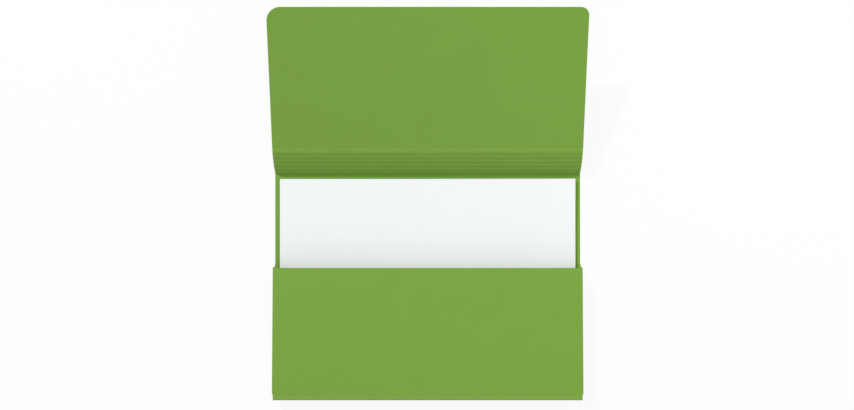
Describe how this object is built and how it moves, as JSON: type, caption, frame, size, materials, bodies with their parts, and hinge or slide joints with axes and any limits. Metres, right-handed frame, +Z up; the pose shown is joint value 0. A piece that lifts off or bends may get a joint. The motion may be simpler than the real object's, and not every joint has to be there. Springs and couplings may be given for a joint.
{
  "type": "document wallet",
  "caption": "Open A4 card document wallet with a half-depth gusseted pocket, a ribbed spine, a full-width fold-over flap and a thin stack of paper in the pocket.",
  "frame": {"origin": "centre of the back panel's underside, on the surface that the wallet lies on", "axes": "+X across the wallet to the right, +Y from the pocket towards the flap, +Z up out of the back panel"},
  "size_m": [0.3076, 0.3825, 0.0523],
  "materials": {
    "card": "matte",
    "paper": "matte",
    "glue": "satin"
  },
  "bodies": {
    "back": {"back_panel": "card", "bottom_strip_1": "card", "bottom_strip_2": "card", "bottom_strip_3": "card", "bottom_strip_4": "card", "bottom_strip_5": "card", "left_gusset_lower": "card", "right_gusset_lower": "card", "left_glue_tab": "card", "right_glue_tab": "card", "left_glue_line": "glue", "right_glue_line": "glue"},
    "spine_1": {"spine_strip_1": "card"},
    "spine_2": {"spine_strip_2": "card"},
    "spine_3": {"spine_strip_3": "card"},
    "spine_4": {"spine_strip_4": "card"},
    "spine_5": {"spine_strip_5": "card"},
    "spine_6": {"spine_strip_6": "card"},
    "flap": {"flap": "card"},
    "front": {"pocket_front": "card", "left_gusset_upper": "card", "right_gusset_upper": "card"},
    "bundle_1": {"sheet_bundle_1": "paper"},
    "bundle_2": {"sheet_bundle_2": "paper"},
    "bundle_3": {"sheet_bundle_3": "paper"},
    "bundle_4": {"sheet_bundle_4": "paper"}
  },
  "joints": [
    {"name": "spine_crease_1", "type": "hinge", "parent": "back", "child": "spine_1", "pos_m": [0, 0.11175, 0.0002], "axis": [-1, 0, 0], "range_deg": [-3.09, 25.29]},
    {"name": "spine_crease_2", "type": "hinge", "parent": "spine_1", "child": "spine_2", "pos_m": [0, 0.1149, 0.00409], "axis": [1, 0, 0], "range_deg": [-3.9, 31.4]},
    {"name": "spine_crease_3", "type": "hinge", "parent": "spine_2", "child": "spine_3", "pos_m": [0, 0.11841, 0.00765], "axis": [1, 0, 0], "range_deg": [-3.9, 31.4]},
    {"name": "spine_crease_4", "type": "hinge", "parent": "spine_3", "child": "spine_4", "pos_m": [0, 0.12225, 0.01085], "axis": [1, 0, 0], "range_deg": [-3.9, 31.4]},
    {"name": "spine_crease_5", "type": "hinge", "parent": "spine_4", "child": "spine_5", "pos_m": [0, 0.12638, 0.01366], "axis": [1, 0, 0], "range_deg": [-3.9, 31.4]},
    {"name": "spine_crease_6", "type": "hinge", "parent": "spine_5", "child": "spine_6", "pos_m": [0, 0.13077, 0.01605], "axis": [1, 0, 0], "range_deg": [-3.9, 31.4]},
    {"name": "flap_crease", "type": "hinge", "parent": "spine_6", "child": "flap", "pos_m": [0, 0.13538, 0.018], "axis": [1, 0, 0], "range_deg": [-4.3, 34.4]},
    {"name": "front_crease", "type": "hinge", "parent": "back", "child": "front", "pos_m": [0, -0.10773, 0.02037], "axis": [1, 0, 0], "range_deg": [-2, 2.3], "stiffness_Nm_per_rad": 0.5, "springref_deg": 0.93},
    {"name": "bundle_1_slide", "type": "slide", "parent": "back", "child": "bundle_1", "axis": [0, 1, 0], "range_m": [-0.0065, 0.0045]},
    {"name": "bundle_2_slide", "type": "slide", "parent": "back", "child": "bundle_2", "axis": [0, 1, 0], "range_m": [-0.0065, 0.0045]},
    {"name": "bundle_3_slide", "type": "slide", "parent": "back", "child": "bundle_3", "axis": [0, 1, 0], "range_m": [-0.0065, 0.0045]},
    {"name": "bundle_4_slide", "type": "slide", "parent": "back", "child": "bundle_4", "axis": [0, 1, 0], "range_m": [-0.0065, 0.0045]}
  ],
  "couplings": [
    {"joint": "spine_crease_2", "follows": "spine_crease_1", "ratio": 1.2384},
    {"joint": "spine_crease_3", "follows": "spine_crease_1", "ratio": 1.2384},
    {"joint": "spine_crease_4", "follows": "spine_crease_1", "ratio": 1.2384},
    {"joint": "spine_crease_5", "follows": "spine_crease_1", "ratio": 1.2384},
    {"joint": "spine_crease_6", "follows": "spine_crease_1", "ratio": 1.2384},
    {"joint": "flap_crease", "follows": "spine_crease_1", "ratio": 1.3571}
  ]
}
